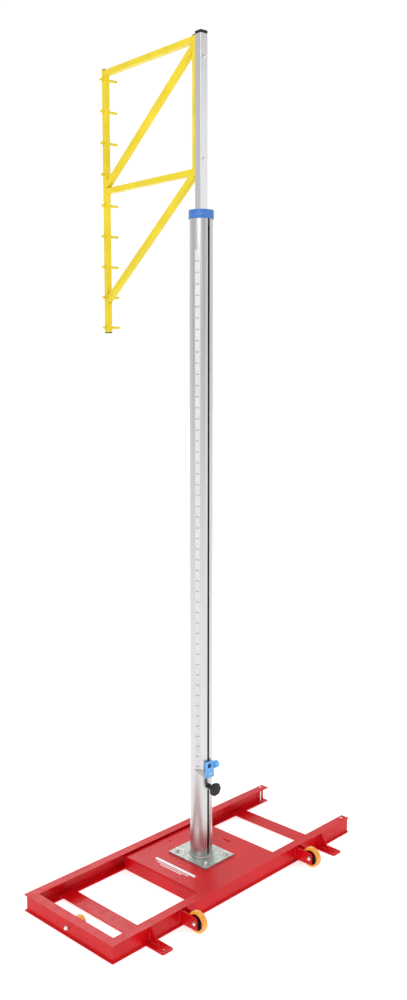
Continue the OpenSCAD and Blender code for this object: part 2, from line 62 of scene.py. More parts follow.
class Shader:
    """A Principled material with a few helpers for building its node tree."""

    def __init__(self, name, **sockets):
        self.material = bpy.data.materials.new(name)
        self.material.use_nodes = True
        self.tree = self.material.node_tree
        self.bsdf = self.tree.nodes["Principled BSDF"]
        for label, value in sockets.items():
            self.bsdf.inputs[label.replace("_", " ")].default_value = value
        self.coords = self.node("ShaderNodeTexCoord").outputs["Object"]

    def node(self, kind, **settings):
        made = self.tree.nodes.new(kind)
        for key, value in settings.items():
            setattr(made, key, value)
        return made

    def link(self, source, target):
        self.tree.links.new(source, target)

    def stretched(self, scale):
        mapping = self.node("ShaderNodeMapping")
        mapping.inputs["Scale"].default_value = scale
        self.link(self.coords, mapping.inputs["Vector"])
        return mapping.outputs["Vector"]

    def noise(self, scale, detail=3.0, vector=None):
        texture = self.node("ShaderNodeTexNoise")
        texture.inputs["Scale"].default_value = scale
        texture.inputs["Detail"].default_value = detail
        self.link(vector or self.coords, texture.inputs["Vector"])
        return texture.outputs["Fac"]

    def cells(self, scale):
        texture = self.node("ShaderNodeTexVoronoi")
        texture.inputs["Scale"].default_value = scale
        self.link(self.coords, texture.inputs["Vector"])
        return texture.outputs["Color"]

    def remap(self, source, low, high, start=0.0, end=1.0):
        remap = self.node("ShaderNodeMapRange")
        remap.inputs["From Min"].default_value = start
        remap.inputs["From Max"].default_value = end
        remap.inputs["To Min"].default_value = low
        remap.inputs["To Max"].default_value = high
        self.link(source, remap.inputs["Value"])
        return remap.outputs["Result"]

    def ramp(self, source, *stops):
        ramp = self.node("ShaderNodeValToRGB")
        elements = ramp.color_ramp.elements
        while len(elements) < len(stops):
            elements.new(0.5)
        for element, (place, colour) in zip(elements, stops):
            element.position = place
            element.color = (*colour, 1.0)
        self.link(source, ramp.inputs["Fac"])
        return ramp.outputs["Color"]

    def mix(self, factor, first, second):
        mixer = self.node("ShaderNodeMix", data_type="RGBA")
        self.link(factor, mixer.inputs["Factor"])
        for socket, value in ((mixer.inputs[6], first), (mixer.inputs[7], second)):
            if isinstance(value, tuple):
                socket.default_value = (*value, 1.0)
            else:
                self.link(value, socket)
        return mixer.outputs[2]

    def bump(self, height, strength, distance):
        bump = self.node("ShaderNodeBump")
        bump.inputs["Strength"].default_value = strength
        bump.inputs["Distance"].default_value = distance
        self.link(height, bump.inputs["Height"])
        self.link(bump.outputs["Normal"], self.bsdf.inputs["Normal"])

    def set(self, label, source):
        self.link(source, self.bsdf.inputs[label])


def tint(colour, factor):
    return tuple(min(1.0, channel * factor) for channel in colour)


# ---------- materials ----------

def paint(name, colour, scuff, coat):
    """Sprayed gloss paint: mottled pigment, orange peel and a few dull scuffs."""
    shader = Shader(name, Coat_Weight=coat, Coat_Roughness=0.12, Specular_IOR_Level=0.20)
    mottle = shader.noise(9.0, 4.0)
    tone = shader.ramp(mottle, (0.3, tint(colour, 0.92)), (0.7, tint(colour, 1.06)))
    scuffs = shader.remap(shader.noise(30.0, 5.0), 0.0, 0.35, 0.60, 0.80)
    shader.set("Base Color", shader.mix(scuffs, tone, scuff))
    shader.set("Roughness", shader.remap(shader.noise(26.0, 6.0), 0.24, 0.42, 0.3, 0.7))
    shader.bump(shader.noise(420.0, 1.0), 0.05, 0.0004)
    return shader.material


def aluminium(name, colour, grain):
    """Extruded and anodised: fine die lines along one axis, with faint bands."""
    shader = Shader(name, Metallic=1.0, Anisotropic=0.35)
    lines = shader.noise(1.0, 5.0, shader.stretched(grain))
    bands = shader.noise(2.2, 3.0)
    streaks = shader.ramp(lines, (0.35, tint(colour, 0.90)), (0.65, tint(colour, 1.05)))
    shader.set("Base Color", shader.mix(shader.remap(bands, 0.0, 0.35, 0.35, 0.75), streaks,
                                        tint(colour, 0.86)))
    shader.set("Roughness", shader.remap(lines, 0.27, 0.40, 0.3, 0.7))
    shader.bump(lines, 0.12, 0.0004)
    return shader.material


def galvanised():
    """Hot-dip zinc: crystal spangle, dull patches and a grainy surface."""
    shader = Shader("galvanised_steel", Metallic=0.85)
    spangle = shader.ramp(shader.cells(120.0), (0.1, (0.33, 0.36, 0.33)), (0.9, (0.60, 0.63, 0.59)))
    patches = shader.remap(shader.noise(22.0, 5.0), 0.0, 0.6, 0.4, 0.75)
    shader.set("Base Color", shader.mix(patches, spangle, (0.40, 0.42, 0.37)))
    shader.set("Roughness", shader.remap(shader.noise(70.0, 4.0), 0.34, 0.58, 0.3, 0.7))
    shader.bump(shader.noise(260.0, 4.0), 0.25, 0.0008)
    return shader.material


def zinc(name, colour):
    """Bright plated fastener steel with a faint passivation tint."""
    shader = Shader(name, Metallic=1.0)
    tone = shader.ramp(shader.noise(130.0, 3.0), (0.3, tint(colour, 0.82)), (0.7, colour))
    shader.set("Base Color", tone)
    shader.set("Roughness", shader.remap(shader.noise(240.0, 4.0), 0.18, 0.34, 0.3, 0.7))
    shader.bump(shader.noise(900.0, 2.0), 0.15, 0.0003)
    return shader.material


def plastic(name, colour, shine, grain):
    """Moulded plastic: slight flow marks under a fine grain."""
    shader = Shader(name, Specular_IOR_Level=0.34)
    tone = shader.ramp(shader.noise(38.0, 4.0), (0.3, tint(colour, 0.88)), (0.7, tint(colour, 1.08)))
    shader.set("Base Color", tone)
    shader.set("Roughness", shader.remap(shader.noise(90.0, 3.0), shine, shine + 0.14, 0.3, 0.7))
    shader.bump(shader.noise(grain, 3.0), 0.14, 0.0004)
    return shader.material


def polyurethane():
    """Cast amber tyre: slightly translucent, glossy and rolled a little dusty."""
    shader = Shader("amber_polyurethane", Subsurface_Weight=0.25, Subsurface_Scale=0.004,
                    Coat_Weight=0.45, Coat_Roughness=0.10)
    shader.bsdf.inputs["Subsurface Radius"].default_value = (1.0, 0.45, 0.10)
    tone = shader.ramp(shader.noise(34.0, 4.0), (0.3, (0.80, 0.30, 0.012)), (0.7, (0.95, 0.43, 0.025)))
    dust = shader.remap(shader.noise(85.0, 7.0), 0.0, 0.35, 0.58, 0.75)
    shader.set("Base Color", shader.mix(dust, tone, (0.66, 0.33, 0.08)))
    shader.set("Roughness", shader.remap(shader.noise(60.0, 4.0), 0.22, 0.40, 0.3, 0.7))
    shader.bump(shader.noise(340.0, 3.0), 0.12, 0.0004)
    return shader.material


def film(name, colour, roughness):
    """Printed self-adhesive film, very slightly uneven."""
    shader = Shader(name)
    tone = shader.ramp(shader.noise(14.0, 3.0), (0.3, tint(colour, 0.94)), (0.7, tint(colour, 1.03)))
    shader.set("Base Color", tone)
    shader.set("Roughness", shader.remap(shader.noise(55.0, 3.0), roughness, roughness + 0.1))
    shader.bump(shader.noise(150.0, 2.0), 0.06, 0.0003)
    return shader.material


RED = paint("red_frame_paint", (0.60, 0.002, 0.006), (0.52, 0.006, 0.010), 0.05)
YELLOW = paint("yellow_arm_paint", (0.74, 0.58, 0.020), (0.66, 0.50, 0.03), 0.08)
# Dark red for the three short beads along the deck's front edge.
DARK_TACK_PAINT = paint("dark_tack_paint", (0.16, 0.012, 0.014), (0.09, 0.02, 0.02), 0.10)
COLUMN_METAL = aluminium("column_aluminium", (0.60, 0.605, 0.60), (420.0, 420.0, 1.2))
MAST_METAL = aluminium("mast_aluminium", (0.66, 0.66, 0.675), (500.0, 500.0, 1.5))
POINTER_METAL = aluminium("pointer_aluminium", (0.40, 0.39, 0.38), (40.0, 40.0, 600.0))
GALVANISED = galvanised()
ZINC = zinc("zinc_plate", (0.84, 0.83, 0.80))
BLUE = plastic("blue_moulded_plastic", (0.14, 0.42, 0.84), 0.24, 520.0)
# Near-black blue for the plug in the carriage block's recess: painted shade of the recess.
RECESS_SHADE_BLUE = plastic("recess_painted_shade_plastic", (0.012, 0.03, 0.12), 0.25, 400.0)
COLLAR_BLUE = plastic("collar_blue_plastic", (0.055, 0.17, 0.50), 0.26, 480.0)
BLACK = plastic("black_moulded_plastic", (0.006, 0.006, 0.007), 0.20, 480.0)
KNOB_BLACK = plastic("knob_black_plastic", (0.004, 0.004, 0.005), 0.08, 300.0)
AMBER = polyurethane()
TAPE = film("tape_film", (0.66, 0.65, 0.70), 0.35)
# Black film for the scale's printed ticks and numbers, also used for the screw's cross, where it is painted shade
# of the cross recess.
INK_AND_SHADE = film("tape_ink_and_painted_shade", (0.02, 0.018, 0.03), 0.45)
DECAL = film("decal_film", (0.86, 0.86, 0.86), 0.30)

SLOT_MATERIAL = {
    "red_frame": RED, "yellow_arm": YELLOW, "satin_aluminium": COLUMN_METAL,
    "galvanised_steel": GALVANISED, "zinc_fasteners": ZINC, "blue_plastic": BLUE,
    "black_plastic": BLACK, "amber_polyurethane": AMBER, "white_tape": TAPE,
}
NODE_MATERIAL = {"mast_tube": MAST_METAL, "slot_key": MAST_METAL, "scale_pointer": POINTER_METAL,
                 "column_collar": COLLAR_BLUE}


def dress_cad_nodes():
    """Gives each CAD node the material of its slot, or its own where it has one."""
    for part in frame["record"]["subparts"]:
        node = NODES[part["node"]]
        material = NODE_MATERIAL.get(part["node"], SLOT_MATERIAL[part["material_slot"]])
        node.data.materials.clear()
        node.data.materials.append(material)


EDGE_RADIUS = {
    "arm_peg": 1.0 * MM, "carriage_grip": 1.0 * MM, "deck": 0.8 * MM,
    "rail": 0.9 * MM, "strip": 0.8 * MM, "plate": 0.8 * MM, "gusset": 0.6 * MM,
    "bracket": 0.6 * MM, "carriage_block": 2.5 * MM, "mast_cap": 3.0 * MM,
    "arm_caps": 1.0 * MM, "collar": 1.5 * MM, "slot_key": 0.5 * MM,
}


def soften_edges():
    """Rounds the sharp edges of the CAD nodes named in EDGE_RADIUS."""
    for name, node in NODES.items():
        radius = next((r for key, r in EDGE_RADIUS.items() if key in name), None)
        if radius is None:
            continue
        bevel = node.modifiers.new("edge", "BEVEL")
        bevel.width = radius
        bevel.segments = 2
        bevel.limit_method = "ANGLE"
        bevel.angle_limit = math.radians(50)


# ---------- mesh helpers ----------

def head_box(node):
    """Lowest and highest corner of a CAD node, measured in the head frame."""
    points = [TO_HEAD @ vertex.co for vertex in NODES[node].data.vertices]
    low = Vector([min(p[i] for p in points) for i in range(3)])
    high = Vector([max(p[i] for p in points) for i in range(3)])
    return low, high


def piece(name, bm, body, material, smooth=True, replaces=()):
    """Turns a bmesh into a finished object on a CAD body."""
    bmesh.ops.remove_doubles(bm, verts=bm.verts, dist=1e-6)
    bmesh.ops.recalc_face_normals(bm, faces=bm.faces)
    mesh = bpy.data.meshes.new(name)
    bm.to_mesh(mesh)
    bm.free()
    made = bpy.data.objects.new(name, mesh)
    bpy.context.scene.collection.objects.link(made)
    mesh.materials.append(material)
    if smooth:
        mesh.shade_smooth()
        mesh.set_sharp_from_angle(angle=math.radians(38))
    if replaces:
        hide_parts(*replaces)
    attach(made, body)
    return made


def solids(node, to_local=Matrix()):
    """(low, high) of each separate solid in a CAD node, measured in a local frame."""
    bm = bmesh.new()
    bm.from_mesh(NODES[node].data)
    bmesh.ops.remove_doubles(bm, verts=bm.verts, dist=1e-6)
    found = []
    left = set(bm.verts)
    while left:
        group, stack = [], [left.pop()]
        while stack:
            vertex = stack.pop()
            group.append(to_local @ vertex.co)
            for edge in vertex.link_edges:
                other = edge.other_vert(vertex)
                if other in left:
                    left.remove(other)
                    stack.append(other)
        low = Vector([min(p[i] for p in group) for i in range(3)])
        high = Vector([max(p[i] for p in group) for i in range(3)])
        found.append((low, high))
    bm.free()
    return sorted(found, key=lambda pair: tuple(pair[0]))


def facing(point, direction, frame_of=Matrix()):
    """A placement whose +Z points along a direction, both given in a local frame."""
    turn = Vector((0, 0, 1)).rotation_difference(Vector(direction)).to_matrix().to_4x4()
    return frame_of @ Matrix.Translation(point) @ turn


def turned(bm, profile, place, segments=48, shape=None, loop=False):
    """Sweeps (radius, along) points about +Z of a placement. shape(radius, angle)
    may change a radius, and loop joins the last point to the first."""
    rows = []
    for radius, along in profile:
        row = []
        for i in range(segments):
            angle = 2 * math.pi * i / segments
            reach = shape(radius, angle) if shape else radius
            row.append(bm.verts.new(place @ Vector((reach * math.cos(angle),
                                                    reach * math.sin(angle), along))))
        rows.append(row)
    for lower, upper in zip(rows, rows[1:] + rows[:1] if loop else rows[1:]):
        for i in range(segments):
            j = (i + 1) % segments
            bm.faces.new((lower[i], lower[j], upper[j], upper[i]))
    if not loop:
        bm.faces.new(rows[0])
        bm.faces.new(rows[-1])


def block(bm, place, low, high):
    """A box between two local corners."""
    outline = ((low[0], low[1]), (high[0], low[1]), (high[0], high[1]), (low[0], high[1]))
    corners = [bm.verts.new(place @ Vector((x, y, z))) for z in (low[2], high[2]) for x, y in outline]
    for face in ((0, 1, 2, 3), (4, 5, 6, 7), (0, 1, 5, 4), (1, 2, 6, 5), (2, 3, 7, 6), (3, 0, 4, 7)):
        bm.faces.new([corners[i] for i in face])


def bead(bm, start, end, side_a, side_b, leg, place=Matrix(), pitch=2.4 * MM):
    """A rippled fillet weld in the corner between two faces, with tapered ends."""
    start, end = Vector(start), Vector(end)
    side_a, side_b = Vector(side_a), Vector(side_b)
    steps = max(6, int((end - start).length / pitch) * 2)
    rows = []
    for i in range(steps + 1):
        ripple = 1.0 + 0.09 * math.cos(math.pi * i)
        taper = min(1.0, 0.45 + 0.28 * min(i, steps - i))
        size = leg * ripple * taper
        corner = start.lerp(end, i / steps)
        section = (corner, corner + side_a * size, corner + (side_a + side_b) * size * 0.60,
                   corner + side_b * size)
        rows.append([bm.verts.new(place @ point) for point in section])
    for lower, upper in zip(rows, rows[1:]):
        for i in range(4):
            j = (i + 1) % 4
            bm.faces.new((lower[i], lower[j], upper[j], upper[i]))
    bm.faces.new(rows[0])
    bm.faces.new(rows[-1])


def rounded_band(outer, half, rounding, steps=6):
    """Outer profile of a roll from one side face to the other."""
    points = []
    for side in (-1, 1):
        arc = [math.pi / 2 * i / steps for i in range(steps + 1)]
        for turn in (reversed(arc) if side < 0 else arc):
            points.append((outer - rounding + rounding * math.cos(turn),
                           side * (half - rounding + rounding * math.sin(turn))))
    return points


# ---------- fasteners ----------

COS30 = math.cos(math.pi / 6)
THREAD_PITCH = 1.6 * MM


def hexagon(corner):
    """Keeps a turned profile inside a hexagon."""
    def limit(radius, angle):
        across = abs((angle + math.pi / 6) % (math.pi / 3) - math.pi / 6)
        return min(radius, corner * COS30 / math.cos(math.pi / 6 - across))
    return limit


def chamfered(corner, height, both):
    """Outer profile of a bolt head or nut, from its seat to its chamfered face."""
    inner = corner * COS30 * 0.95
    rise = (corner - inner) * 0.58
    face = [(inner + (corner - inner) * i / 4, rise * i / 4) for i in range(5)]
    seat = face if both else [(inner, 0.0), (inner, 0.35 * MM), (corner, 0.45 * MM)]
    return seat + [(radius, height - along) for radius, along in reversed(face)]


def thread(radius, start, end):
    """Profile of a threaded length that ends in a chamfer."""
    count = int((end - start - 1.5 * MM) / (THREAD_PITCH / 2))
    ridges = [(radius if i % 2 else radius * 0.88, start + i * THREAD_PITCH / 2) for i in range(count)]
    return ridges + [(radius * 0.95, end - 1.2 * MM), (radius * 0.72, end)]


def nut(bm, place, corner, height, bore):
    profile = chamfered(corner, height, True)
    profile += [(bore, height - 0.6 * MM), (bore, 0.6 * MM)]
    turned(bm, profile, place, 60, hexagon(corner), loop=True)


def bolt(bm, place, corner, head, shank, length, threaded):
    """place is the underside of the head, with +Z along the shank."""
    behind = place @ Matrix.Rotation(math.pi, 4, "X")
    turned(bm, chamfered(corner, head, False), behind, 60, hexagon(corner))
    plain = length - threaded
    turned(bm, [(shank, -0.5 * MM), (shank, plain)] + thread(shank, plain, length), place, 28)


M12 = {"corner": 10.97 * MM, "shank": 6 * MM, "head": 8 * MM, "nut": 10 * MM}
M8 = {"corner": 7.5 * MM, "shank": 4 * MM, "head": 5.5 * MM, "nut": 6.5 * MM}
AXES = [Vector((1, 0, 0)), Vector((0, 1, 0)), Vector((0, 0, 1))]
# Radius of a hole on an M12 bolt
BORE = 6.2 * MM
# Radii that only the outside of the roller bolt's sleeve lies between
SLEEVE_BAND = (8.5 * MM, 9.2 * MM)


def bolts_of(bm, node, axis, head_first, size, threaded, local=Matrix()):
    """One detailed bolt for each solid of a CAD bolt node."""
    for low, high in solids(node, local.inverted()):
        seat = (low + high) / 2
        direction = AXES[axis] * (1 if head_first else -1)
        seat[axis] = low[axis] + size["head"] if head_first else high[axis] - size["head"]
        length = high[axis] - low[axis] - size["head"]
        bolt(bm, facing(seat, direction, local), size["corner"], size["head"], size["shank"],
             length, threaded)


def nuts_of(bm, node, size, local=Matrix()):
    """One detailed nut for each solid of a CAD nut node, along its thinnest side."""
    for low, high in solids(node, local.inverted()):
        spans = high - low
        axis = min(range(3), key=lambda i: spans[i])
        seat = (low + high) / 2
        seat[axis] = low[axis]
        nut(bm, facing(seat, AXES[axis], local), size["corner"], spans[axis], size["shank"])


def fasteners():
    bm = bmesh.new()
    bolts_of(bm, "base_bolts", 2, True, M12, 24 * MM)
    nuts_of(bm, "m12_nuts", M12)
    for node in ("left_wheel_axle", "right_wheel_axle"):
        bolts_of(bm, node, 0, True, M12, 17 * MM)
    bolts_of(bm, "end_roller_bolt", 0, False, M12, 40 * MM)
    low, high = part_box("end_roller_bolt")
    centre = (low + high) / 2
    sleeve = [v.co.x for v in NODES["end_roller_bolt"].data.vertices
              if SLEEVE_BAND[0] < math.hypot(v.co.y - centre.y, v.co.z - centre.z) < SLEEVE_BAND[1]]
    start, end = min(sleeve), max(sleeve)
    turned(bm, [(BORE, 0), (8.6 * MM, 0), (9 * MM, 0.5 * MM), (9 * MM, end - start - 0.5 * MM),
                (8.6 * MM, end - start), (BORE, end - start)],
           facing((start, centre.y, centre.z), AXES[0]), 40, loop=True)
    bolts_of(bm, "end_bolts", 2, False, M8, 30 * MM)
    nuts_of(bm, "end_bolt_nuts", M8)
    piece("base_fasteners", bm, "base", ZINC,
          replaces=("base_bolts", "m12_nuts", "left_wheel_axle", "right_wheel_axle",
                    "end_roller_bolt", "end_bolts", "end_bolt_nuts"))
    bm = bmesh.new()
    bolts_of(bm, "arm_bolts", 1, True, M8, 22 * MM, HEAD)
    nuts_of(bm, "arm_bolt_nuts", M8, HEAD)
    piece("arm_fasteners", bm, "mast", ZINC, replaces=("arm_bolts", "arm_bolt_nuts"))


# ---------- wheels and roller ----------

HUB_RIBS = 8


def wheel(side):
    """Tyre with a mould line, and a ribbed hub with a bearing in each side."""
    body = side + "_wheel"
    low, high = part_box(body + "_tyre")
    centre = (low + high) / 2
    outer, half = (high.z - low.z) / 2, (high.x - low.x) / 2
    place = facing(centre, AXES[0])
    hub_low, hub_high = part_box(body + "_hub")
    boss = (hub_high.x - hub_low.x) / 2
    rim = (hub_high.z - hub_low.z) / 2

    bm = bmesh.new()
    band = rounded_band(outer, half, 5.5 * MM)
    middle = len(band) // 2
    mould = [(outer, -0.7 * MM), (outer - 0.3 * MM, -0.3 * MM),
             (outer - 0.3 * MM, 0.3 * MM), (outer, 0.7 * MM)]
    inside = [(rim + 0.05 * MM, half - 0.4 * MM), (rim + 0.05 * MM, 0.4 * MM - half)]
    turned(bm, band[:middle] + mould + band[middle:] + inside, place, 96, loop=True)
    piece(body + "_moulded_tyre", bm, body, AMBER, replaces=(body + "_tyre",))

    bm = bmesh.new()
    edge, dish = half - 1 * MM, half * 0.55
    side_profile = [(BORE, boss - 1 * MM), (11.2 * MM, boss - 1 * MM), (11.4 * MM, boss - 0.2 * MM),
                    (13.2 * MM, boss), (14 * MM, boss - 0.8 * MM), (14.8 * MM, dish), (rim - 5.5 * MM, dish),
                    (rim - 4 * MM, edge - 0.6 * MM), (rim - 3.4 * MM, edge), (rim - 0.6 * MM, edge),
                    (rim, edge - 0.6 * MM)]
    profile = side_profile + [(radius, -along) for radius, along in reversed(side_profile)]
    turned(bm, profile, place, 80, loop=True)
    for i in range(HUB_RIBS):
        turn = Matrix.Rotation(2 * math.pi * i / HUB_RIBS, 4, "Z")
        for face in (1, -1):
            ends = sorted((face * (dish - 1 * MM), face * (edge - 1.5 * MM)))
            block(bm, place @ turn, (13 * MM, -1.3 * MM, ends[0]), (rim - 4 * MM, 1.3 * MM, ends[1]))
    piece(body + "_ribbed_hub", bm, body, BLACK, replaces=(body + "_hub",))

    bm = bmesh.new()
    for face in (1, -1):
        shield = facing(centre, AXES[0] * face)
        outside = boss - 0.35 * MM
        turned(bm, [(6.3 * MM, boss - 1.2 * MM), (6.3 * MM, outside), (7.6 * MM, outside),
                    (8 * MM, outside - 0.3 * MM), (10 * MM, outside - 0.3 * MM), (10.3 * MM, outside),
                    (11.1 * MM, outside), (11.1 * MM, boss - 1.2 * MM)], shield, 48, loop=True)
    piece(body + "_bearings", bm, body, ZINC)


def end_roller():
    """Roller with dished side faces round a black bush."""
    low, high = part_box("end_roller")
    centre = (low + high) / 2
    outer, half = (high.z - low.z) / 2, (high.x - low.x) / 2
    place = facing(centre, AXES[0])
    bush = 11 * MM
    dished = [(bush, half - 0.6 * MM), (14 * MM, half - 0.6 * MM), (14.6 * MM, half - 1.8 * MM),
              (19 * MM, half - 1.8 * MM), (20 * MM, half)]
    bm = bmesh.new()
    profile = [(radius, -along) for radius, along in dished] + rounded_band(outer, half, 4 * MM)
    turned(bm, profile + dished[::-1], place, 80, loop=True)
    piece("end_roller_body", bm, "end_roller", AMBER, replaces=("end_roller",))
    bm = bmesh.new()
    turned(bm, [(BORE, -half), (bush - 0.9 * MM, -half), (bush - 0.1 * MM, 0.8 * MM - half),
                (bush - 0.1 * MM, half - 0.8 * MM), (bush - 0.9 * MM, half), (BORE, half)],
           place, 48, loop=True)
    piece("end_roller_bush", bm, "end_roller", BLACK)


# ---------- welds ----------

# A welded plate stops this far from the rail's web, to clear the root radius
ROOT_GAP = 3.2 * MM
RAIL_FLANGE = 46 * MM
END_CLEAR = 3 * MM
TACK_X = (207 * MM, 97 * MM, -184 * MM)
TACK_Y = -252 * MM
TACK_HALF = 6 * MM
BASE_PLATE_T = 8 * MM
WELD_RIPPLES = 65
WELD_WAVES = 9
ARM_BEAD_HALF = 13 * MM


def frame_welds():
    """Fillets at the brackets, gussets and cross strips, and tacks along the deck."""
    bm = bmesh.new()
    down, up, out = -AXES[2], AXES[2], -AXES[1]
    half_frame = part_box("rear_rail")[1].y
    front_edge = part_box("front_rail")[0].y
    brackets = [side + "_bracket_" + place for side in ("left", "right") for place in ("near", "far")]
    gussets = ["left_foot_gusset", "right_foot_gusset"]
    for name in brackets + gussets:
        low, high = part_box(name)
        face = high.y + ROOT_GAP
        for x, side in ((low.x, -AXES[0]), (high.x, AXES[0])):
            bead(bm, (x, face, low.z + END_CLEAR), (x, face, high.z - END_CLEAR), out, side, 5 * MM)
            bead(bm, (x, face - 4 * MM, high.z), (x, -half_frame, high.z), down, side, 2.6 * MM)
    for name in gussets:
        low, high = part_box(name)
        foot_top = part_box(name.replace("gusset", "plate"))[1].z
        for x, side in ((low.x, -AXES[0]), (high.x, AXES[0])):
            bead(bm, (x, front_edge, foot_top), (x, low.y + 2 * MM, foot_top), up, side, 3.2 * MM)
    for name in ("left_cross_strip", "right_cross_strip"):
        low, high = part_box(name)
        for y in (-1, 1):
            start, end = y * (half_frame - RAIL_FLANGE + 1 * MM), y * (high.y - 2 * MM)
            for x, side in ((low.x, -AXES[0]), (high.x, AXES[0])):
                bead(bm, (x, start, low.z), (x, end, low.z), up, side, 4 * MM)
    piece("frame_welds", bm, "base", RED)
    # Three short dark red beads along the deck's front edge.
    bm = bmesh.new()
    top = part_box("deck_plate")[1].z
    for x in TACK_X:
        bead(bm, (x - TACK_HALF, TACK_Y, top), (x + TACK_HALF, TACK_Y, top), AXES[1], up, 4.2 * MM)
    piece("deck_tacks", bm, "base", DARK_TACK_PAINT)


def column_weld():
    """Rippled ring of weld round the column foot, over the plain bead."""
    low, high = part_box("column_base_plate")
    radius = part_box("column_tube")[1].y
    top = low.z + BASE_PLATE_T
    leg = high.z - top
    bm = bmesh.new()
    count = 4 * WELD_RIPPLES
    rows = []
    for i in range(count):
        angle = 2 * math.pi * i / count
        size = leg * (1.05 + 0.05 * math.cos(angle * WELD_RIPPLES) + 0.03 * math.sin(angle * WELD_WAVES))
        section = ((0, -1 * MM), (size, -0.5 * MM), (size, 0.1 * MM), (size * 0.86, size * 0.36),
                   (size * 0.60, size * 0.66), (size * 0.30, size * 0.90), (0, size * 0.97))
        x, y = math.cos(angle), math.sin(angle)
        rows.append([bm.verts.new(((radius + out) * x, (radius + out) * y, top + up))
                     for out, up in section])
    for i in range(count):
        lower, upper = rows[i], rows[(i + 1) % count]
        for j in range(len(lower) - 1):
            bm.faces.new((lower[j], lower[j + 1], upper[j + 1], upper[j]))
    piece("column_foot_weld", bm, "base", POINTER_METAL)


def arm_welds():
    """Fillets where the arm's bars and braces meet its posts."""
    bm = bmesh.new()
    half = ARM_BEAD_HALF
    back = head_box("arm_back_post")[1].y
    outer = head_box("arm_outer_post")[0].y
    down, up = -AXES[2], AXES[2]
    for name in ("arm_top_bar", "arm_mid_bar", "arm_upper_brace", "arm_lower_brace"):
        points = [TO_HEAD @ vertex.co for vertex in NODES[name].data.vertices]
        for plane, along in ((back, AXES[1]), (outer, -AXES[1])):
            at_end = [p.z for p in points if abs(p.y - plane) < 1 * MM]
            if not at_end:
                continue
            for z, side in ((min(at_end), down), (max(at_end), up)):
                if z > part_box("arm_outer_post")[1].z - 3 * MM:
                    continue
                bead(bm, (-half, plane, z), (half, plane, z), side, along, 4.5 * MM, HEAD)
    piece("arm_welds", bm, "mast", YELLOW)


# ---------- knob and carriage ----------

KNOB_SCALLOPS = 7
SCREW_TURN = 0.4
# Centre of the block's recess along X and Z of the head frame
RECESS = (-5 * MM, 541 * MM)


def clamp_knob():
    """Round hand knob with a softly scalloped rim, a raised ring and a recessed cap."""
    low, high = head_box("clamp_knob")
    centre = (low + high) / 2
    radius = (high.z - low.z) / 2
    length = high.y - low.y
    place = facing((centre.x, low.y, centre.z), AXES[1], HEAD)
    core = 25 * MM

    def scalloped(reach, angle):
        if reach <= core:
            return reach
        depth = (reach - core) / (radius - core)
        return reach - 1.6 * MM * depth * (0.5 - 0.5 * math.cos(KNOB_SCALLOPS * angle)) ** 2

    profile = [(3 * MM, 1.6 * MM), (10.5 * MM, 1.4 * MM), (11.2 * MM, 0.1 * MM), (14 * MM, 0.0),
               (15.5 * MM, 0.5 * MM), (18 * MM, 2.0 * MM), (23 * MM, 2.2 * MM), (25.5 * MM, 0.9 * MM),
               (28 * MM, 0.5 * MM), (30.5 * MM, 1.8 * MM), (radius, 4.6 * MM), (radius, 9.0 * MM),
               (30.6 * MM, 12 * MM), (28 * MM, 13.4 * MM), (22 * MM, 13.9 * MM), (15 * MM, 14.0 * MM),
               (12 * MM, 15.5 * MM), (11.6 * MM, length - 0.6 * MM), (11 * MM, length),
               (4.3 * MM, length), (4.3 * MM, 9.5 * MM), (3 * MM, 9.5 * MM)]
    bm = bmesh.new()
    turned(bm, profile, place, 140, scalloped)
    piece("hand_knob", bm, "knob", KNOB_BLACK, replaces=("clamp_knob",))


def carriage_details():
    """Cross-headed screw whose cross is drawn as black bars of painted shade, and a near-black blue plug at the
    bottom of the block's recess, its colour painted shade of the recess.
    """
    low, high = head_box("carriage_screw")
    centre = (low + high) / 2
    place = facing((centre.x, low.y, centre.z), AXES[1], HEAD)
    bm = bmesh.new()
    turned(bm, [(1.2 * MM, 0.3 * MM), (2.6 * MM, 0.15 * MM), (4 * MM, 0.7 * MM), (4.8 * MM, 1.6 * MM),
                (5 * MM, 2.4 * MM), (3 * MM, 2.45 * MM), (3 * MM, 11 * MM), (1 * MM, 11.4 * MM)], place, 40)
    piece("pan_head_screw", bm, "mast", ZINC, replaces=("carriage_screw",))
    # The screw head's cross recess is drawn as thin black bars on the head: painted shade.
    bm = bmesh.new()
    for spin in (SCREW_TURN, SCREW_TURN + math.pi / 2):
        block(bm, place @ Matrix.Rotation(spin, 4, "Z"),
              (-2.6 * MM, -0.45 * MM, 0.0), (2.6 * MM, 0.45 * MM, 0.6 * MM))
    piece("screw_cross_painted_shade", bm, "mast", INK_AND_SHADE)
    # The plug's near-black blue is painted shade at the bottom of the block's recess.
    block_high = head_box("carriage_block")[1]
    plug = facing((RECESS[0], block_high.y - 2.5 * MM, RECESS[1]), -AXES[1], HEAD)
    bm = bmesh.new()
    turned(bm, [(3 * MM, 0.05 * MM), (11.8 * MM, 0.05 * MM), (11.8 * MM, 3.2 * MM), (10.6 * MM, 4 * MM),
                (5 * MM, 4 * MM), (4 * MM, 3 * MM), (1 * MM, 3 * MM)], plug, 48)
    piece("recess_plug_painted_shade", bm, "mast", RECESS_SHADE_BLUE)


DECAL_CENTRE = (-187 * MM, -3 * MM)
DECAL_BARS = ((-21 * MM, 5 * MM, 70 * MM), (-9 * MM, 5 * MM, 105 * MM), (9 * MM, 17 * MM, 132 * MM))


def deck_decal():
    """Plain white mark of three bars with slanted ends, each (offset, width, half length)."""
    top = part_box("deck_plate")[1].z + 0.15 * MM
    bm = bmesh.new()
    slant = 6 * MM
    for offset, width, half in DECAL_BARS:
        x = DECAL_CENTRE[0] + offset
        y = DECAL_CENTRE[1]
        corners = ((x - width / 2, y - half), (x + width / 2, y - half + slant),
                   (x + width / 2, y + half + slant), (x - width / 2, y + half))
        bm.faces.new([bm.verts.new((u, v, top)) for u, v in corners])
    piece("deck_decal", bm, "base", DECAL, smooth=False)


COLLAR_SCREW_DEGREES = (-50, -130, 50, 130)


